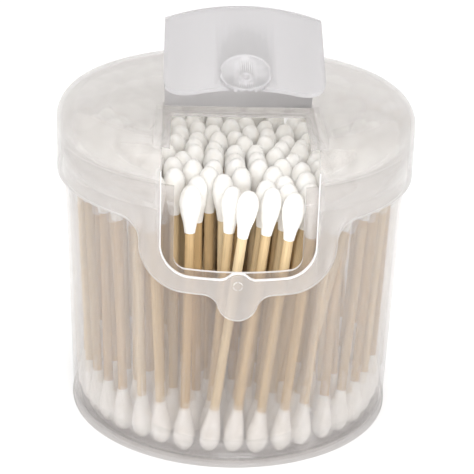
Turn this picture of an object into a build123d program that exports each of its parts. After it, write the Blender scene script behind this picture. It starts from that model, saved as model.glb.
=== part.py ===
"""Round cotton swab tub: a moulded tub, a push-on lid with a hinged dispensing flap, and the swabs inside.

Millimetres, +Z up. The origin is the centre of the tub's foot, and -Y is the front, where the flap is.
The flap is built closed and then turned up to its resting angle about the hinge line.
"""
from build123d import *
import math
import os
import numpy as np

# --- tub ---
TUB_BASE_R = 43.6        # outer radius at the foot
TUB_RIM_R = 45.5         # outer radius at the rim: the wall has draft
TUB_HEIGHT = 77.0        # foot to rim
TUB_WALL = 1.0
FLOOR_TOP = 1.8          # inside face of the floor
FOOT_RING = 2.4          # width of the foot ring
GROOVE_WIDTH = 1.6       # a shallow groove parts the foot ring from the flat underside
GROOVE_DEPTH = 0.6
FOOT_STEP = 0.35         # the foot stands proud of the wall above it
FOOT_BAND = 1.1          # height of that proud band
SNAP_DEPTH = 0.15        # how far the tub's snap bead stands out
SNAP_Z = 72.5            # height of the tub's snap bead
SNAP_BEAD_R = 0.5

# --- lid ---
LID_R = 47.1             # outer radius of the skirt
LID_WALL = 1.1
LID_TOP = 88.0           # height of the flat top
SHOULDER_R = 7.0         # outside rounding between the top and the skirt
SKIRT_BOTTOM = 67.0
RIDGE_Z = 70.4           # snap ridge inside the skirt, just under the tub's bead
RIDGE_CLEAR = 0.08       # running gap between that ridge and the bead
RIM_GAP = 0.1            # gap between the tub's rim and the stop inside the lid
STOP_DEPTH = 0.5         # thickness of that stop at its inner edge
STOP_GRIP = 0.7          # how far the stop reaches over the rim
LIP_ROUND = 0.3          # rounding of the window's and the bib's outer edges
FILLET_SHY = 0.01        # a full-height fillet stops this much short of the whole height
INNER_ROUND = SHOULDER_R - LID_WALL

# --- window through the lid, seen from the front ---
WINDOW_HALF = 19.0
WINDOW_BOTTOM = 54.5
WINDOW_CORNER = 7.3
BUMP_R = 3.4             # the frame rises round the catch in the middle
BUMP_FILLET = 3.0
LEDGE_WIDTH = 2.0        # ledge that the closed flap rests on, along each side
LEDGE_BACK = 3.9         # and its width in front of the hinge
LEDGE_DEPTH = 1.2
SEAT_GAP = 0.15          # gap between the ledge and the closed flap

# --- bib: the lid's apron round the window, with its finger tongue ---
BIB_HALF = 24.5
BIB_BOTTOM = 50.1
BIB_CORNER = 11.0
BIB_ROOT_FILLET = 5.0
TONGUE_R = 5.0
TONGUE_BOTTOM = 43.5
TONGUE_FILLET = 4.0
CATCH_Z = 53.0           # height of the catch dome on the bib
CATCH_R = 1.15
CATCH_RISE = 0.45

# --- notch in the tub's wall behind the window ---
NOTCH_HALF = 15.9
NOTCH_BOTTOM = 55.5
NOTCH_CORNER = 3.0

# --- flap ---
HINGE_Y = -11.4
HINGE_BEAD_R = 0.45
HINGE_GAP = 0.05
FLAP_GAP = 0.25          # gap all round between the flap and the window
FLAP_OPEN = 65.5         # resting angle above closed, in degrees
DISC_R = 6.0             # finger disc on the flap's front
DISC_CENTRE_Z = 58.6
DISC_THICK = 0.8
DISC_CLEAR = 0.1         # gap between the disc and the bib when closed
DISC_RIM = 0.7           # width of the disc's raised rim
RIM_RISE = 0.3
BUTTON_Z = 57.0          # small ring that marks where to press
BUTTON_R = 1.7
BUTTON_HOLE_R = 0.8
SOCKET_GAP = 0.3         # the blind socket behind the disc is this much wider than the catch

# --- swabs ---
SWAB_LENGTH = 73.0
STICK_R = 1.28
BUD_R = 2.9              # largest radius of a cotton bud
BUD_SIZES = (0.95, 0.98, 1.0, 1.02)   # buds vary by this factor
BUD_LENGTH = 12.6
BUD_WIDEST = 4.4         # distance from the tip to the widest place
BUD_NECK_R = 1.42
BUD_END = 2.6            # cotton beyond the end of the stick
BUD_FIT = 0.02           # gap between cotton and stick
SWAB_GAP = 0.12          # least gap between neighbouring swabs
SWAB_LIFT = 1.0          # swabs stand up to this much above the floor
SWAB_PITCH = 6.18        # spacing that the packing starts from
ROW_DEPTH = 5.8          # swabs are grouped in rows this deep, front to back
SEED = 5


def tub_radius(z):
    """Outer radius of the tub's wall at a height."""
    return TUB_BASE_R - FOOT_STEP + (TUB_RIM_R - TUB_BASE_R + FOOT_STEP) * z / TUB_HEIGHT


# ---------------------------------------------------------------- mouldings
def revolved(points_face):
    """A face in the XZ plane turned about the Z axis."""
    return revolve(points_face, Axis.Z, 360)


def front_prism(sketch, near, far):
    """A sketch drawn in X and Z, made solid from y = near to y = far."""
    face = Plane.XZ * sketch
    return extrude(face.moved(Location((0, far, 0))), far - near)


def make_tub():
    """Thin-walled cup with a foot ring, a proud foot band, a snap bead and the front notch."""
    inner_floor = tub_radius(FLOOR_TOP) - TUB_WALL
    inner_rim = TUB_RIM_R - TUB_WALL
    band_top = tub_radius(FOOT_BAND)
    profile = Polyline(
        (0, 0),
        (TUB_BASE_R - FOOT_RING - GROOVE_WIDTH, 0),
        (TUB_BASE_R - FOOT_RING - GROOVE_WIDTH, GROOVE_DEPTH),
        (TUB_BASE_R - FOOT_RING, GROOVE_DEPTH),
        (TUB_BASE_R - FOOT_RING, 0),
        (TUB_BASE_R, 0),
        (TUB_BASE_R, FOOT_BAND),
        (band_top, FOOT_BAND),
        (TUB_RIM_R, TUB_HEIGHT),
        (inner_rim, TUB_HEIGHT),
        (inner_floor, FLOOR_TOP),
        (0, FLOOR_TOP),
        close=True,
    )
    cup = revolved(Plane.XZ * make_face(profile))
    foot_edges = cup.edges().filter_by(GeomType.CIRCLE).group_by(Axis.Z)[0].sort_by(SortBy.RADIUS)
    cup = fillet(foot_edges[-1], FOOT_STEP)
    bead_centre = tub_radius(SNAP_Z) + SNAP_DEPTH - SNAP_BEAD_R
    cup += revolved(Plane.XZ * Pos(bead_centre, SNAP_Z) * Circle(SNAP_BEAD_R))
    notch = RectangleRounded(2 * NOTCH_HALF, 2 * (TUB_HEIGHT - NOTCH_BOTTOM), NOTCH_CORNER)
    return cup - front_prism(Pos(0, TUB_HEIGHT) * notch, -LID_R - 5, -LID_R / 2)


def lid_shell(bottom):
    """The lid's wall as a shell of even thickness, with its skirt reaching down to a given height."""
    inner_r = LID_R - LID_WALL
    inner_top = LID_TOP - LID_WALL
    centre = (LID_R - SHOULDER_R, LID_TOP - SHOULDER_R)
    lean = math.sqrt(0.5)
    outline = [
        Line((0, LID_TOP), (centre[0], LID_TOP)),
        ThreePointArc(
            (centre[0], LID_TOP),
            (centre[0] + SHOULDER_R * lean, centre[1] + SHOULDER_R * lean),
            (LID_R, centre[1]),
        ),
        Polyline((LID_R, centre[1]), (LID_R, bottom), (inner_r, bottom), (inner_r, centre[1])),
        ThreePointArc(
            (inner_r, centre[1]),
            (centre[0] + INNER_ROUND * lean, centre[1] + INNER_ROUND * lean),
            (centre[0], inner_top),
        ),
        Polyline((centre[0], inner_top), (0, inner_top), (0, LID_TOP)),
    ]
    return revolved(Plane.XZ * make_face(Curve() + outline))


def inside_lid(depth, gap):
    """The space under the lid's top, as deep as asked and a gap away from it."""
    inner_r = LID_R - LID_WALL - gap
    space = Pos(0, 0, LID_TOP - SHOULDER_R) * Cylinder(inner_r, 2 * (INNER_ROUND - gap))
    rim = space.edges().filter_by(GeomType.CIRCLE).group_by(Axis.Z)[-1]
    space = fillet(rim, INNER_ROUND - gap - FILLET_SHY)
    keep = Pos(0, 0, LID_TOP - LID_WALL - depth / 2) * Box(4 * LID_R, 4 * LID_R, depth)
    return space & keep


def blended_bump(base, radius, centre_z, blend, way):
    """A round bump on a straight edge, on its upper side (way 1) or lower side (way -1), blended into it."""
    over = way * (centre_z - base) - blend
    reach = math.sqrt((radius + blend) ** 2 - over**2)
    meet = blend + over * blend / (radius + blend)
    bump = Pos(0, centre_z) * Circle(radius)
    foot = Pos(0, base + way * (meet - blend) / 2) * Rectangle(2 * reach, meet + blend)
    for side in (-1, 1):
        foot -= Pos(side * reach, base + way * blend) * Circle(blend)
    return bump + foot


def window_outline(gap):
    """The window seen from the front, drawn smaller by a gap all round."""
    half = WINDOW_HALF - gap
    bottom = WINDOW_BOTTOM + gap
    top = LID_TOP + SHOULDER_R
    opening = Pos(0, top) * RectangleRounded(2 * half, 2 * (top - bottom), WINDOW_CORNER - gap)
    return opening - blended_bump(bottom, BUMP_R + gap, CATCH_Z, BUMP_FILLET - gap, 1)


def bib_outline():
    """The apron seen from the front: rounded lower corners, root fillets and the finger tongue."""
    top = SKIRT_BOTTOM + LID_WALL
    apron = Pos(0, top) * RectangleRounded(2 * BIB_HALF, 2 * (top - BIB_BOTTOM), BIB_CORNER)
    keep = Pos(0, (top + TONGUE_BOTTOM) / 2) * Rectangle(4 * BIB_HALF, top - TONGUE_BOTTOM)
    root = Rectangle(2 * (BIB_HALF + BIB_ROOT_FILLET), BIB_ROOT_FILLET + LID_WALL)
    apron += Pos(0, top - (BIB_ROOT_FILLET + LID_WALL) / 2) * root
    for side in (-1, 1):
        apron -= Pos(side * (BIB_HALF + BIB_ROOT_FILLET), SKIRT_BOTTOM - BIB_ROOT_FILLET) * Circle(
            BIB_ROOT_FILLET
        )
    tongue = blended_bump(BIB_BOTTOM, TONGUE_R, TONGUE_BOTTOM + TONGUE_R, TONGUE_FILLET, -1)
    return (apron + tongue) & keep


def on_lip(edge):
    """Whether an edge bounds the skirt's outer face at the front, below the shoulder."""
    points = [edge.position_at(share) for share in (0.1, 0.5, 0.9)]
    return all(
        abs(math.hypot(point.X, point.Y) - LID_R) < LIP_ROUND / 10
        and point.Y < -LID_R / 2
        and point.Z < LID_TOP - SHOULDER_R
        and abs(point.X) < BIB_HALF + BIB_ROOT_FILLET
        for point in points
    )


def make_lid():
    """Cap with a rounded shoulder, the bib, the flap's ledge, a snap ridge and the catch dome."""
    lid = lid_shell(SKIRT_BOTTOM)
    inner_r = LID_R - LID_WALL
    ring_height = LID_TOP - SHOULDER_R - TONGUE_BOTTOM
    ring_z = TONGUE_BOTTOM + ring_height / 2
    wall = Pos(0, 0, ring_z) * (Cylinder(LID_R, ring_height) - Cylinder(inner_r, ring_height))
    lid += wall & front_prism(bib_outline(), -LID_R - 5, -LID_R / 2)

    front = -LID_R - 5
    ledge = Pos(0, (HINGE_Y + LEDGE_WIDTH + front) / 2, LID_TOP - LID_WALL - LEDGE_DEPTH / 2) * Box(
        2 * (WINDOW_HALF + LEDGE_WIDTH), HINGE_Y + LEDGE_WIDTH - front, LEDGE_DEPTH
    )
    lid += ledge & inside_lid(LEDGE_DEPTH, 0)

    bead_r = tub_radius(SNAP_Z) + SNAP_DEPTH
    ridge_r = bead_r + RIDGE_CLEAR
    rise = inner_r - ridge_r
    ridge = Polyline(
        (inner_r + LID_WALL / 2, RIDGE_Z - 2 * rise),
        (inner_r, RIDGE_Z - 2 * rise),
        (ridge_r, RIDGE_Z - rise / 2),
        (ridge_r, RIDGE_Z + rise / 2),
        (inner_r, RIDGE_Z + 2 * rise),
        (inner_r + LID_WALL / 2, RIDGE_Z + 2 * rise),
        close=True,
    )
    lid += revolved(Plane.XZ * make_face(ridge))

    stop_r = TUB_RIM_R - STOP_GRIP
    stop_z = TUB_HEIGHT + RIM_GAP
    stop = Polyline(
        (inner_r + LID_WALL / 2, stop_z),
        (stop_r, stop_z),
        (stop_r, stop_z + STOP_DEPTH),
        (inner_r + LID_WALL / 2, stop_z + STOP_DEPTH + inner_r - stop_r),
        close=True,
    )
    lid += revolved(Plane.XZ * make_face(stop))

    cutter = front_prism(window_outline(0), front, HINGE_Y)
    ledge_top = LID_TOP - LID_WALL
    ledge_half = WINDOW_HALF - LEDGE_WIDTH
    spared = Pos(0, 0, ledge_top - LEDGE_DEPTH / 2) * Box(4 * LID_R, 4 * LID_R, LEDGE_DEPTH)
    spared -= Pos(0, HINGE_Y - LEDGE_BACK - LID_R, ledge_top) * Box(
        2 * ledge_half, 2 * LID_R, 4 * LEDGE_DEPTH
    )
    spared &= inside_lid(LEDGE_DEPTH, SEAT_GAP)
    lid -= cutter - spared
    groove = Pos(0, HINGE_Y, LID_TOP) * Rot(0, 90, 0) * Cylinder(
        HINGE_BEAD_R + HINGE_GAP, 2 * WINDOW_HALF
    )
    lid -= groove
    lid = lid.fillet(LIP_ROUND, [edge for edge in lid.edges() if on_lip(edge)])

    dome_r = (CATCH_R**2 + CATCH_RISE**2) / (2 * CATCH_RISE)
    dome = Pos(0, -LID_R + dome_r - CATCH_RISE, CATCH_Z) * Sphere(dome_r)
    dome &= Pos(0, -LID_R - CATCH_RISE, CATCH_Z) * Box(
        4 * CATCH_R, 2 * CATCH_RISE + LID_WALL, 4 * CATCH_R
    )
    return lid + dome


def front_layer(sketch, centre_z, inner, outer):
    """A sketch wrapped on the front of the skirt, as a curved plate between two radii."""
    tall = 8 * DISC_R
    layer = Pos(0, 0, centre_z) * (Cylinder(outer, tall) - Cylinder(inner, tall))
    return layer & front_prism(Pos(0, centre_z) * sketch, -LID_R - 5, -LID_R / 2)


def make_flap():
    """The flap as moulded, closed: a strip of the lid's own shell with a hinge bead and a finger disc."""
    front = -LID_R - 5
    shell = lid_shell(WINDOW_BOTTOM - LID_WALL)
    flap = shell & front_prism(window_outline(FLAP_GAP), front, HINGE_Y - HINGE_GAP)
    half = WINDOW_HALF - FLAP_GAP
    flap += Pos(0, HINGE_Y, LID_TOP) * Rot(0, 90, 0) * Cylinder(HINGE_BEAD_R, 2 * half)

    inner = LID_R + DISC_CLEAR
    outer = inner + DISC_THICK
    disc = front_layer(Circle(DISC_R), DISC_CENTRE_Z, inner, outer)
    disc += front_layer(Circle(DISC_R) - Circle(DISC_R - DISC_RIM), DISC_CENTRE_Z, inner, outer + RIM_RISE)
    disc += front_layer(Circle(BUTTON_R) - Circle(BUTTON_HOLE_R), BUTTON_Z, inner, outer + RIM_RISE)
    flap_edge = CATCH_Z + BUMP_R + FLAP_GAP + DISC_CLEAR
    upper_part = Circle(DISC_R) & Pos(0, flap_edge - DISC_CENTRE_Z + DISC_R) * Rectangle(4 * DISC_R, 2 * DISC_R)
    disc += front_layer(upper_part, DISC_CENTRE_Z, LID_R - DISC_CLEAR, outer)
    socket = Circle(CATCH_R + SOCKET_GAP)
    disc -= front_layer(socket, CATCH_Z, LID_R - DISC_CLEAR, inner + CATCH_RISE)
    flap += disc
    hinge = Axis((0, HINGE_Y, LID_TOP), (-1, 0, 0))
    return flap.rotate(hinge, FLAP_OPEN)


# ---------------------------------------------------------------- swabs
def bud_radius(along, size):
    """Radius of a cotton bud at a distance from its tip: a blunt tip that tapers to the neck."""
    along = np.asarray(along, float)
    largest = BUD_R * size
    tip = largest * np.sqrt(np.clip(1 - ((BUD_WIDEST - along) / BUD_WIDEST) ** 2, 0, 1))
    share = np.clip((along - BUD_WIDEST) / (BUD_LENGTH - BUD_WIDEST), 0, 1)
    taper = BUD_NECK_R + (largest - BUD_NECK_R) * (0.5 + 0.5 * np.cos(math.pi * share))
    return np.where(along < BUD_WIDEST, tip, taper)


def swab_radius(along, size):
    """Radius of a whole swab at a distance from its lower tip."""
    along = np.asarray(along, float)
    end = np.minimum(along, SWAB_LENGTH - along)
    inside = (end >= 0) & (end <= BUD_LENGTH)
    return np.where(inside, bud_radius(end, size), np.where(end < 0, 0.0, STICK_R))


# The load leans: near each place (x, y) the upper ends shift by (dx, dy), fading over a reach.
LEANS = [
    (12.0, -38.0, 12.0, 13.0, 2.0),
    (-24.0, -34.0, 8.0, -4.0, -1.0),
    (-33.0, 8.0, 15.0, 1.5, 4.0),
    (31.0, 10.0, 15.0, -2.0, -4.5),
    (0.0, 31.0, 17.0, -5.0, 0.5),
]
LEAN_JITTER = 4.5
RELAX_STEPS = 500
REACH = 13.0             # pairs farther apart than this never touch


def starting_places():
    """A ring of swabs against the wall, and a triangular grid inside it, as (x, y)."""
    room = tub_radius(FLOOR_TOP) - TUB_WALL - BUD_R - SWAB_GAP
    count = int(2 * math.pi * room / SWAB_PITCH)
    turns = [2 * math.pi * k / count for k in range(count)]
    found = [(room * math.sin(turn), -room * math.cos(turn)) for turn in turns]
    step = SWAB_PITCH * math.sqrt(0.75)
    rows = int(room / step) + 1
    for row in range(-rows, rows + 1):
        shift = SWAB_PITCH / 2 * (row % 2)
        columns = int(room / SWAB_PITCH) + 1
        for column in range(-columns, columns + 1):
            x, y = column * SWAB_PITCH + shift, row * step
            if math.hypot(x, y) <= room - step + 0.3:
                found.append((x, y))
    return found


def pack_swabs():
    """Settles leaning swabs that neither touch nor reach the wall: (lower tip, upper tip, size) each."""
    rng = np.random.default_rng(SEED)
    low = np.array(starting_places())
    count = len(low)
    spread = (TUB_RIM_R - TUB_WALL - BUD_R) / (tub_radius(FLOOR_TOP) - TUB_WALL - BUD_R)
    high = low * spread
    for x, y, reach, dx, dy in LEANS:
        pull = np.exp(-((low[:, 0] - x) ** 2 + (low[:, 1] - y) ** 2) / (2 * reach**2))
        high += pull[:, None] * np.array([dx, dy])
    high += rng.uniform(-LEAN_JITTER, LEAN_JITTER, high.shape)
    size = rng.choice(BUD_SIZES, count)
    foot = FLOOR_TOP + 0.05 + SWAB_LIFT * rng.random(count) ** 2
    fine = np.linspace(0.2, BUD_LENGTH, 12)
    levels = np.concatenate([fine, np.linspace(BUD_LENGTH + 3, SWAB_LENGTH - BUD_LENGTH - 3, 7),
                             SWAB_LENGTH - fine[::-1], [SWAB_LENGTH + 0.9]]) + FLOOR_TOP
    first, second = np.triu_indices(count, 1)
    near = np.minimum(np.hypot(*(low[first] - low[second]).T), np.hypot(*(high[first] - high[second]).T))
    first, second = first[near < REACH], second[near < REACH]
    share = (levels[None, :] - foot[:, None]) / SWAB_LENGTH
    radii = swab_radius(share * SWAB_LENGTH, size[:, None])
    wall = tub_radius(levels) - TUB_WALL - SWAB_GAP
    for step in range(RELAX_STEPS):
        place = low[:, None, :] * (1 - share[..., None]) + high[:, None, :] * share[..., None]
        apart = place[first] - place[second]
        distance = np.maximum(np.linalg.norm(apart, axis=2), 1e-6)
        need = radii[first] + radii[second] + SWAB_GAP
        solid = (radii[first] > 0) & (radii[second] > 0)
        overlap = np.where(solid, need - distance, 0)
        worst = np.clip(overlap, 0, None)
        push = apart / distance[..., None] * worst[..., None] * 0.25
        lean = share[first]
        lower = (push * (1 - lean)[..., None]).max(axis=1) + (push * (1 - lean)[..., None]).min(axis=1)
        upper = (push * lean[..., None]).max(axis=1) + (push * lean[..., None]).min(axis=1)
        np.add.at(low, first, lower)
        np.add.at(low, second, -lower)
        np.add.at(high, first, upper)
        np.add.at(high, second, -upper)
        for pass_number in range(2):
            place = low[:, None, :] * (1 - share[..., None]) + high[:, None, :] * share[..., None]
            out = np.linalg.norm(place, axis=2)
            excess = np.where(radii > 0, np.clip(out + radii - wall, 0, None), 0)
            inward = -place / np.maximum(out, 1e-6)[..., None] * excess[..., None]
            for ends, part in ((low, 1 - share), (high, share)):
                moved = inward * part[..., None]
                ends += moved.max(axis=1) + moved.min(axis=1)
        if step > 20 and worst.max() < SWAB_GAP / 4 and excess.max() < SWAB_GAP / 4:
            break
    print("swabs", count, "steps", step, "least gap", round(SWAB_GAP - worst.max(), 3),
          "least gap to wall", round(SWAB_GAP - excess.max(), 3))
    swabs = []
    for k in range(count):
        run = Vector(*(high[k] - low[k]), 0)
        rise = math.sqrt(SWAB_LENGTH**2 - run.length**2)
        base = Vector(*low[k], foot[k])
        swabs.append((base, base + run + Vector(0, 0, rise), size[k]))
    return swabs


def make_bud(size):
    """A cotton bud standing on its tip at the origin, with the hole that the stick fills."""
    steps = [BUD_WIDEST * (1 - math.cos(a)) for a in np.radians([25, 55, 90])]
    steps += [BUD_WIDEST + (BUD_LENGTH - BUD_WIDEST) * s for s in (0.35, 0.7, 1.0)]
    points = [(0, 0)] + [(float(bud_radius(s, size)), s) for s in steps]
    hole_r = STICK_R + BUD_FIT
    outline = [
        Spline(*points, tangents=[(1, 0), (0, 1)]),
        Polyline(points[-1], (hole_r, BUD_LENGTH), (hole_r, BUD_END), (0, BUD_END), (0, 0)),
    ]
    return revolved(Plane.XZ * make_face(Curve() + outline))


def make_swab_rows():
    """Every row's sticks, upper buds and lower buds, as groups of separate solids."""
    buds = {size: make_bud(size) for size in BUD_SIZES}
    stick = Pos(0, 0, SWAB_LENGTH / 2) * Cylinder(STICK_R, SWAB_LENGTH - 2 * BUD_END)
    groups = {}
    for base, tip, size in pack_swabs():
        upright = Plane(origin=base, z_dir=tip - base)
        inverted = Plane(origin=tip, z_dir=base - tip)
        name = f"row_{1 + int((base.Y + TUB_BASE_R) / ROW_DEPTH):02d}"
        pieces = {
            "sticks": stick.moved(upright.location),
            "lower_buds": buds[size].moved(upright.location),
            "upper_buds": buds[size].moved(inverted.location),
        }
        for kind, piece in pieces.items():
            groups.setdefault(f"{name}_{kind}", []).append(piece.solid())
    return groups


def main():
    os.makedirs("parts", exist_ok=True)
    for name, solid in {"tub": make_tub(), "lid": make_lid(), "flap": make_flap()}.items():
        export_step(solid, f"parts/{name}.step")
    for name, solids in make_swab_rows().items():
        export_step(Compound(solids), f"parts/{name}.step")


main()
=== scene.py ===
# %% [markdown]
# # A tub of cotton swabs
#
# The object is a frosted polypropylene tub with a push-on lid, a flip flap on a hinge, and 148
# cotton swabs with birch sticks. The construction model already holds the mouldings at their
# real size, so this lesson gives them their plastic, and builds the swabs that show through it.

import math
import random

import bmesh
import bpy
import numpy as np
from mathutils import Matrix, Vector, noise


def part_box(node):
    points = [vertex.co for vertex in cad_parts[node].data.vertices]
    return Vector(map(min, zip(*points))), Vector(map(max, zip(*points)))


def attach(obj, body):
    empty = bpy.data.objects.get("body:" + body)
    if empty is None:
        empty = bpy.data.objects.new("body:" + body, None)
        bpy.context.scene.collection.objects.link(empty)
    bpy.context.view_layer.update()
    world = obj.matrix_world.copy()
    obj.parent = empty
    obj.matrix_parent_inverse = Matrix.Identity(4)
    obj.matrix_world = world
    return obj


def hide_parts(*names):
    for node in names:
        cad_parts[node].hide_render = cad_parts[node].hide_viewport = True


MM = 0.001
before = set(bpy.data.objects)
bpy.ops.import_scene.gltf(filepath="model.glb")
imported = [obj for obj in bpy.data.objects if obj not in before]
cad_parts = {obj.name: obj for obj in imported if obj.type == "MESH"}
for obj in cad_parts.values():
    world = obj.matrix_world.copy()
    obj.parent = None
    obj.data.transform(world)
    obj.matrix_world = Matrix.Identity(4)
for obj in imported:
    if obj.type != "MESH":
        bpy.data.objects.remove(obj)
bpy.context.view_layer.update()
swab_nodes = sorted(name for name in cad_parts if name.startswith("row_"))
swab_rows = sorted({name.split("_")[1] for name in swab_nodes})
print("nodes:", len(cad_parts), "rows of swabs:", len(swab_rows))

# %% [markdown]
# ## Colours and nodes
#
# A designer picks colours as hex values, which are sRGB. Blender's shaders work in linear light, so
# one function turns a hex value into linear numbers. A second small function adds a shader node with
# its settings and its links, and every material below is made with it.

# %% Two helpers for materials
def linear(hex_colour):
    """Linear RGBA for an sRGB hex colour such as 'e1dfde'."""
    channels = [int(hex_colour[k:k + 2], 16) / 255 for k in (0, 2, 4)]
    curve = [c / 12.92 if c <= 0.04045 else ((c + 0.055) / 1.055) ** 2.4 for c in channels]
    return (*curve, 1.0)


def add(material, kind, settings=None, **links):
    """Adds a node; settings go to its properties or input sockets, and links join sockets to inputs."""
    node = material.node_tree.nodes.new(kind)
    for name, value in (settings or {}).items():
        if hasattr(node, name):
            setattr(node, name, value)
        else:
            node.inputs[name].default_value = value
    for name, source in links.items():
        material.node_tree.links.new(source, node.inputs[name.replace("_", " ")])
    return node


def start_material(name):
    """An empty node material, and its output node."""
    material = bpy.data.materials.new(name)
    material.use_nodes = True
    material.node_tree.nodes.clear()
    return material, add(material, "ShaderNodeOutputMaterial")


def wire(material, source, node, socket):
    """Joins an output to a named input."""
    material.node_tree.links.new(source, node.inputs[socket])


# %% [markdown]
# ## Frosted polypropylene
#
# Thin polypropylene is milky: part of the light goes through, blurred by the frosted mould surface,
# and part is scattered back as white. One Principled shader holds both. Its transmission is the share
# that passes, its roughness is the frosting, and what is left shows as a pale body colour. The lid is
# milkier than the tub, and the flap is the closest of the three. The flap's grey body colour is
# painted shade: a greyer copy of the lid's plastic, for the upright flap that catches less light.
# The moulds were slightly uneven, so a fine bump ripples the gloss.

# %% Plastic for the tub, the lid and the flap
POLYPROPYLENE_IOR = 1.49
MOULD_GRAIN = 0.35 * MM       # size of the frosted mould's texture
SINK_WAVE = 9.0 * MM          # slow waves left where the wall shrank as it cooled


def frosted_polypropylene(name, colour, cover, passes, roughness, gloss_bump):
    """Milky plastic: cover is the share of light that meets it, passes what of that goes on, blurred."""
    material, output = start_material(name)
    place = add(material, "ShaderNodeTexCoord").outputs["Object"]
    grain = add(material, "ShaderNodeTexNoise", {"Scale": 1 / MOULD_GRAIN, "Detail": 2.0}, Vector=place)
    wave = add(material, "ShaderNodeTexNoise", {"Scale": 1 / SINK_WAVE, "Detail": 1.0}, Vector=place)
    rough = add(material, "ShaderNodeMapRange", {"To Min": roughness * 0.9, "To Max": roughness * 1.1},
                Value=wave.outputs["Fac"])
    fine = add(material, "ShaderNodeBump", {"Strength": gloss_bump, "Distance": 0.02 * MM},
               Height=grain.outputs["Fac"])
    slow = add(material, "ShaderNodeBump", {"Strength": 0.25, "Distance": 0.2 * MM},
               Height=wave.outputs["Fac"], Normal=fine.outputs["Normal"])
    shader = add(material, "ShaderNodeBsdfPrincipled", {
        "Base Color": linear(colour), "Transmission Weight": passes, "IOR": POLYPROPYLENE_IOR,
        "Specular IOR Level": 0.5, "Alpha": cover,
    }, Roughness=rough.outputs["Result"], Normal=slow.outputs["Normal"])
    wire(material, shader.outputs["BSDF"], output, "Surface")
    return material


tub_plastic = frosted_polypropylene("frosted_polypropylene_tub", "d0c9c6", 0.42, 0.72, 0.15, 0.3)
lid_plastic = frosted_polypropylene("frosted_polypropylene_lid", "e4e0dd", 0.60, 0.60, 0.24, 0.3)
# The flap's greyer body colour is painted shade, for the less light that the upright flap catches.
flap_shade_plastic = frosted_polypropylene("frosted_polypropylene_flap_painted_shade", "d2d0d1", 0.80, 0.50, 0.26, 0.2)
# A whiter, more opaque plastic for the free edges: a painted highlight for the light the wall lets out
# there.
edge_highlight_plastic = frosted_polypropylene("polypropylene_painted_edge_highlight", "fbfafb", 0.95, 0.25, 0.30, 0.2)

# %% [markdown]
# ## The mouldings and their bright edges
#
# Milky plastic carries light along inside the wall and lets it out where the wall ends, so every
# free edge of the real mouldings shows as a bright line: round the window, along the bib and the
# skirt, and round the tub's notch. Each moulding is a merged copy of its construction node. A face
# belongs to such an edge when it lies between the wall's two skins and does not look outwards or
# inwards, and it then takes a whiter, more opaque plastic that paints that light on as a highlight.

# %% Mouldings with bright edges
LID_WALL = 1.1 * MM
TUB_WALL = 1.0 * MM
MERGE = 1e-6                  # vertices nearer than this, in metres, are one
FACING = 0.85                 # a skin looks outwards or inwards at least this squarely
SLACK = 0.05 * MM             # how far a flat face may lie outside the round skin
SMOOTH_ANGLE = math.radians(32)


def is_free_edge(face, outer, wall, top):
    """Whether a face closes the wall between its skins, below the shoulder."""
    centre = face.calc_center_median()
    away = Vector((centre.x, centre.y, 0))
    if centre.z > top or not outer - wall < away.length < outer + SLACK:
        return False
    return abs(face.normal.dot(away.normalized())) < FACING


def moulding(node, body, name, plastic, edge_test):
    """A merged, smooth copy of a moulding's construction node, with its free edges in a whiter plastic as a
    painted highlight.
    """
    shape = bmesh.new()
    shape.from_mesh(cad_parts[node].data)
    bmesh.ops.remove_doubles(shape, verts=shape.verts, dist=MERGE)
    for face in shape.faces:
        face.smooth = True
        face.material_index = 1 if edge_test(face) else 0
    mesh = bpy.data.meshes.new(name)
    shape.to_mesh(mesh)
    shape.free()
    mesh.set_sharp_from_angle(angle=SMOOTH_ANGLE)
    for finish in (plastic, edge_highlight_plastic):
        mesh.materials.append(finish)
    piece = bpy.data.objects.new(name, mesh)
    bpy.context.scene.collection.objects.link(piece)
    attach(piece, body)
    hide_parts(node)
    return piece


lid_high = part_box("lid")[1]
tub_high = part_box("tub")[1]
lid_r = lid_high.x
rim_r = tub_high.x
SHOULDER = 7.0 * MM
FOOT_R = 43.6 * MM
FOOT_BAND = 1.5 * MM          # the foot is solid, so it has no free edge


def lid_edge(face):
    return is_free_edge(face, lid_r, LID_WALL, lid_high.z - SHOULDER)


def tub_edge(face):
    centre = face.calc_center_median()
    draft = (tub_high.z - centre.z) * (rim_r - FOOT_R) / tub_high.z
    return centre.z > FOOT_BAND and is_free_edge(face, rim_r - draft, TUB_WALL, tub_high.z)


moulding("lid", "lid", "push_on_lid", lid_plastic, lid_edge)
moulding("tub", "tub", "round_tub", tub_plastic, tub_edge)
moulding("flap", "flap", "flip_flap", flap_shade_plastic, lambda face: False)
print("mouldings: lid, tub and flap")

# %% [markdown]
# ## Birch sticks and cotton
#
# The sticks are cut from birch veneer and rounded, so each has fine grain along its length and its own
# tone, from straw to tan. The tone comes from an attribute with one random value for each stick, and
# the grain from a noise stretched along the stick's own UV direction. The cotton is wound on, so it is
# almost white with soft hollows between the fibres, and a sheen stands in for the fuzz that is too
# fine to model.

# %% Wood and cotton
GRAIN_WIDTH = 0.22 * MM
GRAIN_LENGTH = 14 * MM
FIBRE_WIDTH = 0.5 * MM        # real fibres are near 0.02 mm: this is as coarse as they need to show
HOLLOW = 2.4 * MM             # size of the soft hollows in the winding


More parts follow.
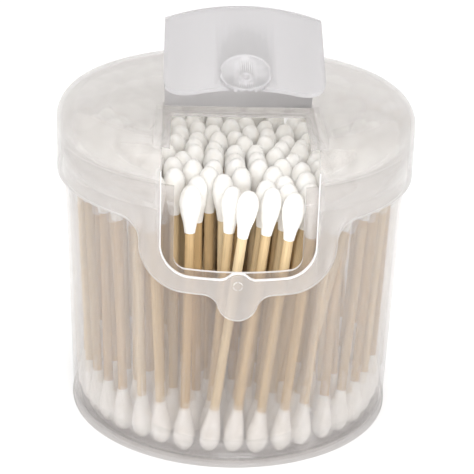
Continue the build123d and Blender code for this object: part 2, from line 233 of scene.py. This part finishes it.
def birch_stick():
    """Plain unvarnished birch, with grain along the stick and a tone of its own for each stick."""
    material, output = start_material("birch_stick_plain_sawn")
    place = add(material, "ShaderNodeUVMap", {"uv_map": "along_stick"}).outputs["UV"]
    scaled = add(material, "ShaderNodeMapping", {"Scale": (1 / GRAIN_WIDTH, 1 / GRAIN_LENGTH, 1)},
                 Vector=place)
    grain = add(material, "ShaderNodeTexNoise", {"Scale": 1.0, "Detail": 3.0, "Roughness": 0.6},
                Vector=scaled.outputs["Vector"])
    tone = add(material, "ShaderNodeAttribute", {"attribute_name": "tone"})
    base = add(material, "ShaderNodeValToRGB", {}, Fac=tone.outputs["Fac"])
    base.color_ramp.elements[0].color = linear("c9a878")
    base.color_ramp.elements[1].color = linear("e6d0a8")
    streak = add(material, "ShaderNodeMapRange", {
        "From Min": 0.35, "From Max": 0.7, "To Min": 0.82, "To Max": 1.06,
    }, Value=grain.outputs["Fac"])
    shaded = add(material, "ShaderNodeVectorMath", {"operation": "SCALE"}, Scale=streak.outputs["Result"])
    wire(material, base.outputs["Color"], shaded, 0)
    bump = add(material, "ShaderNodeBump", {"Strength": 0.4, "Distance": 0.05 * MM},
               Height=grain.outputs["Fac"])
    shader = add(material, "ShaderNodeBsdfPrincipled", {"Roughness": 0.72, "Specular IOR Level": 0.3},
                 Base_Color=shaded.outputs["Vector"], Normal=bump.outputs["Normal"])
    wire(material, shader.outputs["BSDF"], output, "Surface")
    return material


def wound_cotton():
    """Bleached cotton wound on a stick: matt, nearly white, with soft hollows painted a little greyer as
    painted shade, and a pale sheen.
    """
    material, output = start_material("bleached_cotton_wound")
    place = add(material, "ShaderNodeTexCoord").outputs["Object"]
    fibre = add(material, "ShaderNodeTexNoise", {"Scale": 1 / FIBRE_WIDTH, "Detail": 3.0, "Roughness": 0.65},
                Vector=place)
    lump = add(material, "ShaderNodeTexNoise", {"Scale": 1 / HOLLOW, "Detail": 1.0}, Vector=place)
    # Painted shade: the noise that shapes the hollows also makes them a little greyer.
    hollow_shade_tint = add(material, "ShaderNodeValToRGB", {}, Fac=lump.outputs["Fac"])
    hollow_shade_tint.color_ramp.elements[0].position = 0.3
    hollow_shade_tint.color_ramp.elements[0].color = linear("f3f0ea")
    hollow_shade_tint.color_ramp.elements[1].position = 0.7
    hollow_shade_tint.color_ramp.elements[1].color = linear("fbfaf7")
    coarse = add(material, "ShaderNodeBump", {"Strength": 0.5, "Distance": 0.25 * MM},
                 Height=lump.outputs["Fac"])
    bump = add(material, "ShaderNodeBump", {"Strength": 0.5, "Distance": 0.08 * MM},
               Height=fibre.outputs["Fac"], Normal=coarse.outputs["Normal"])
    shader = add(material, "ShaderNodeBsdfPrincipled", {
        "Roughness": 0.95, "Specular IOR Level": 0.15, "Sheen Weight": 0.25, "Sheen Roughness": 0.6,
    }, Base_Color=hollow_shade_tint.outputs["Color"], Normal=bump.outputs["Normal"])
    wire(material, shader.outputs["BSDF"], output, "Surface")
    return material


stick_wood = birch_stick()
bud_cotton = wound_cotton()

# %% [markdown]
# ## Reading where each swab stands
#
# The construction model packs the swabs so that none touch, each leaning its own way. A node holds one
# row of sticks or buds as loose islands of triangles, so each island is found by walking from vertex
# to vertex. The walk starts from vertices in their own order, so every run finds the swabs alike. A
# stick's two ends are the middles of its lowest and highest vertices.

# %% Find the swabs
random.seed(11)
BUD_BEYOND = 2.6 * MM         # cotton beyond the end of the stick
BUD_LENGTH = 12.6 * MM
BUD_WIDEST = 4.4 * MM
NECK_R = 1.42 * MM
STICK_R = 1.28 * MM


def islands(node):
    """The separate solids of a construction node, each as an array of its vertices."""
    copy = bmesh.new()
    copy.from_mesh(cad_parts[node].data)
    bmesh.ops.remove_doubles(copy, verts=copy.verts, dist=MERGE)
    seen = set()
    found = []
    for start in copy.verts:
        if start in seen:
            continue
        seen.add(start)
        walk = [start]
        island = []
        while walk:
            vertex = walk.pop()
            island.append(vertex.co.copy())
            for edge in vertex.link_edges:
                other = edge.other_vert(vertex)
                if other not in seen:
                    seen.add(other)
                    walk.append(other)
        found.append(np.array(island))
    copy.free()
    return found


def stick_ends(points):
    """The middles of a stick's lower and upper ends."""
    middle = points[:, 2].mean()
    low = points[points[:, 2] < middle].mean(axis=0)
    high = points[points[:, 2] >= middle].mean(axis=0)
    return Vector(low), Vector(high)


def bud_width(points, tip, axis):
    """Largest distance of a bud's vertices from its stick's axis."""
    away = points - np.array(tip)
    along = away @ np.array(axis)
    across = away - np.outer(along, np.array(axis))
    return float(np.linalg.norm(across, axis=1).max())


swabs = {}
for row in swab_rows:
    buds = {end: islands(f"row_{row}_{end}_buds") for end in ("lower", "upper")}
    swabs[row] = []
    for points in islands(f"row_{row}_sticks"):
        low, high = stick_ends(points)
        axis = (high - low).normalized()
        widths = {}
        for end, centre in (("lower", low), ("upper", high)):
            nearest = min(buds[end], key=lambda bud: np.linalg.norm(bud.mean(axis=0) - np.array(centre)))
            widths[end] = bud_width(nearest, low, axis)
        swabs[row].append({
            "low": low, "high": high, "axis": axis, "widths": widths, "tone": random.random(),
        })
print("swabs found:", sum(len(row) for row in swabs.values()))

# %% [markdown]
# ## Modelling a swab
#
# A real bud is a wisp of cotton wound on in seconds, so no two are alike: each leans off its stick a
# little and has soft lumps. Hundreds are needed, so one bud is kept to a few dozen faces: a circle is
# extruded ring by ring along the bud's outline, closed at its tip, and pushed in and out by a smooth
# noise. The stick is the same kind of tube, a little out of true, as cut wood is.

# %% Buds and sticks
BUD_SIDES = 10
BUD_STEPS = (0.10, 0.30, 0.62, 1.0, 1.6, 2.25, 2.82)   # ring places along a bud, as shares of BUD_WIDEST
STICK_SIDES = 10
STICK_PARTS = 4
LUMP = 0.05                   # depth of the lumps, as a share of the radius
LUMP_SIZE = 2.6 * MM


def bud_profile(along, width):
    """Radius of a bud at a distance from its tip."""
    if along < BUD_WIDEST:
        return width * math.sqrt(1 - ((BUD_WIDEST - along) / BUD_WIDEST) ** 2)
    share = (along - BUD_WIDEST) / (BUD_LENGTH - BUD_WIDEST)
    return NECK_R + (width - NECK_R) * (0.5 + 0.5 * math.cos(math.pi * share))


def turned(axis):
    """A turn that takes +Z to an axis."""
    return Vector((0, 0, 1)).rotation_difference(axis).to_matrix().to_4x4()


def tube(shape, place, sides, rings):
    """A tube through rings given as (distance along, radius), extruded ring by ring; returns its rings."""
    made = bmesh.ops.create_circle(shape, segments=sides, radius=rings[0][1], cap_ends=False,
                                   matrix=place @ Matrix.Translation((0, 0, rings[0][0])))
    ring = made["verts"]
    edges = list(dict.fromkeys(edge for vertex in ring for edge in vertex.link_edges))
    found = [ring]
    centre = place @ Vector((0, 0, rings[0][0]))
    for (_, before), (along, radius) in zip(rings, rings[1:]):
        made = bmesh.ops.extrude_edge_only(shape, edges=edges)["geom"]
        ring = [item for item in made if isinstance(item, bmesh.types.BMVert)]
        edges = [item for item in made if isinstance(item, bmesh.types.BMEdge)
                 and all(vertex in ring for vertex in item.verts)]
        target = place @ Vector((0, 0, along))
        bmesh.ops.translate(shape, verts=ring, vec=target - centre)
        bmesh.ops.scale(shape, verts=ring, vec=(radius / before,) * 3, space=Matrix.Translation(-target))
        centre = target
        found.append(ring)
    return found


def add_bud(shape, tip, inward, width):
    """A wound bud from its tip along the inward direction."""
    place = Matrix.Translation(tip) @ turned(inward)
    rings = [(step * BUD_WIDEST, bud_profile(step * BUD_WIDEST, width)) for step in BUD_STEPS]
    found = tube(shape, place, BUD_SIDES, rings)
    point = shape.verts.new(tip)
    first = found[0]
    around = dict.fromkeys(edge for vertex in first for edge in vertex.link_edges)
    for edge in [edge for edge in around if all(vertex in first for vertex in edge.verts)]:
        shape.faces.new((*edge.verts, point))
    lumps = Vector((random.random(), random.random(), random.random())) * 100
    centre_line = [place @ Vector((0, 0, along)) for along, _ in rings]
    for ring, centre in zip(found, centre_line):
        for vertex in ring:
            away = vertex.co - centre
            push = noise.noise(vertex.co / LUMP_SIZE + lumps) * LUMP
            vertex.co = centre + away * (1 - LUMP / 2 + push)


def add_stick(shape, swab, uv_layer, tone_layer):
    """A stick between its two ends, with grain directions in a UV map and its own tone."""
    place = Matrix.Translation(swab["low"]) @ turned(swab["axis"])
    length = (swab["high"] - swab["low"]).length
    known = set(shape.faces)
    rings = [(length * k / STICK_PARTS, STICK_R * random.uniform(0.96, 1.0)) for k in range(STICK_PARTS + 1)]
    tube(shape, place, STICK_SIDES, rings)
    back = place.inverted()
    shift = random.random()
    for face in set(shape.faces) - known:
        face[tone_layer] = swab["tone"]
        middle = back @ face.calc_center_median()
        turn = math.atan2(middle.y, middle.x)
        for loop in face.loops:
            at = back @ loop.vert.co
            angle = math.atan2(at.y, at.x)
            angle += 2 * math.pi * round((turn - angle) / (2 * math.pi))
            loop[uv_layer].uv = (STICK_R * angle + shift, at.z + shift)


def finish_piece(shape, name, material, body, node):
    """Turns a bmesh into a smooth piece that rides on a body and stands for a construction node."""
    bmesh.ops.recalc_face_normals(shape, faces=shape.faces)
    mesh = bpy.data.meshes.new(name)
    shape.to_mesh(mesh)
    shape.free()
    mesh.shade_smooth()
    mesh.materials.append(material)
    piece = bpy.data.objects.new(name, mesh)
    bpy.context.scene.collection.objects.link(piece)
    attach(piece, body)
    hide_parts(node)
    return piece


# %% Build every row
for row, found in swabs.items():
    sticks = bmesh.new()
    uv = sticks.loops.layers.uv.new("along_stick")
    tone = sticks.faces.layers.float.new("tone")
    for swab in found:
        add_stick(sticks, swab, uv, tone)
    finish_piece(sticks, f"birch_sticks_{row}", stick_wood, "tub", f"row_{row}_sticks")
    for end, sign in (("lower", -1), ("upper", 1)):
        heads = bmesh.new()
        for swab in found:
            start = swab["low"] if end == "lower" else swab["high"]
            tip = start + swab["axis"] * sign * BUD_BEYOND
            add_bud(heads, tip, -sign * swab["axis"], swab["widths"][end])
        finish_piece(heads, f"cotton_buds_{end}_{row}", bud_cotton, "tub", f"row_{row}_{end}_buds")
print("rows built:", len(swabs))

# %% [markdown]
# ## Floor, light and camera
#
# The tub stands on a plain white floor in even studio light, so its own milky tones carry the picture.
# One large soft light hangs overhead, one stands at each side, one over the camera reaches in through
# the window to the swabs at the back, and a white world fills the shadows.
# The camera is a long lens looking down at the front, slightly rolled.

# %% Stage
def stage_floor():
    """A large matt white floor under the tub."""
    shape = bmesh.new()
    bmesh.ops.create_grid(shape, x_segments=1, y_segments=1, size=6.0)
    mesh = bpy.data.meshes.new("studio_floor")
    shape.to_mesh(mesh)
    shape.free()
    floor = bpy.data.objects.new("studio_floor", mesh)
    bpy.context.scene.collection.objects.link(floor)
    material, output = start_material("matt_white_paper")
    shader = add(material, "ShaderNodeBsdfPrincipled", {"Base Color": linear("fcfcfc"), "Roughness": 0.9,
                                                        "Specular IOR Level": 0.1})
    wire(material, shader.outputs["BSDF"], output, "Surface")
    mesh.materials.append(material)


def soft_light(name, place, aim, size, power):
    """A square area light that points at a place."""
    lamp = bpy.data.lights.new(name, "AREA")
    lamp.size = size
    lamp.energy = power
    light = bpy.data.objects.new(name, lamp)
    light.location = place
    light.rotation_euler = (Vector(aim) - Vector(place)).to_track_quat("-Z", "Y").to_euler()
    bpy.context.scene.collection.objects.link(light)


stage_floor()
tub_middle = (0, 0, 0.045)
soft_light("overhead_softbox", (0.0, -0.05, 0.75), tub_middle, 0.6, 2.2)
soft_light("left_softbox", (-0.7, -0.5, 0.45), tub_middle, 0.5, 1.4)
soft_light("right_softbox", (0.7, -0.35, 0.35), tub_middle, 0.5, 0.6)
soft_light("camera_softbox", (0.04, -0.72, 0.40), tub_middle, 0.35, 2.8)
world = bpy.data.worlds.new("white_studio")
world.use_nodes = True
background = world.node_tree.nodes["Background"]
background.inputs["Color"].default_value = (1, 1, 1, 1)
background.inputs["Strength"].default_value = 0.85
scene = bpy.context.scene
scene.world = world
scene.view_settings.view_transform = "Standard"

# %% Camera
CAMERA_DISTANCE = 444.6 * MM
CAMERA_HEIGHT_ANGLE = math.radians(22.63)
CAMERA_TURN = math.radians(2.2)       # the tub's front is turned this much to the right
CAMERA_ROLL = math.radians(1.75)
LOOK_RIGHT = 1.19 * MM
LOOK_HEIGHT = 46.45 * MM
LENS = 124.3                          # for a sensor 36 mm wide

right = Vector((math.cos(CAMERA_TURN), -math.sin(CAMERA_TURN), 0))
back = Vector((-math.sin(CAMERA_TURN) * math.cos(CAMERA_HEIGHT_ANGLE),
               -math.cos(CAMERA_TURN) * math.cos(CAMERA_HEIGHT_ANGLE),
               math.sin(CAMERA_HEIGHT_ANGLE)))
up = back.cross(right)
rolled_right = right * math.cos(CAMERA_ROLL) + up * math.sin(CAMERA_ROLL)
rolled_up = up * math.cos(CAMERA_ROLL) - right * math.sin(CAMERA_ROLL)
place = right * LOOK_RIGHT + Vector((0, 0, LOOK_HEIGHT)) + back * CAMERA_DISTANCE
camera_data = bpy.data.cameras.new("front_camera")
camera_data.lens = LENS
camera = bpy.data.objects.new("front_camera", camera_data)
camera.matrix_world = Matrix((
    (rolled_right.x, rolled_up.x, back.x, place.x),
    (rolled_right.y, rolled_up.y, back.y, place.y),
    (rolled_right.z, rolled_up.z, back.z, place.z),
    (0, 0, 0, 1),
))
scene.collection.objects.link(camera)
scene.camera = camera
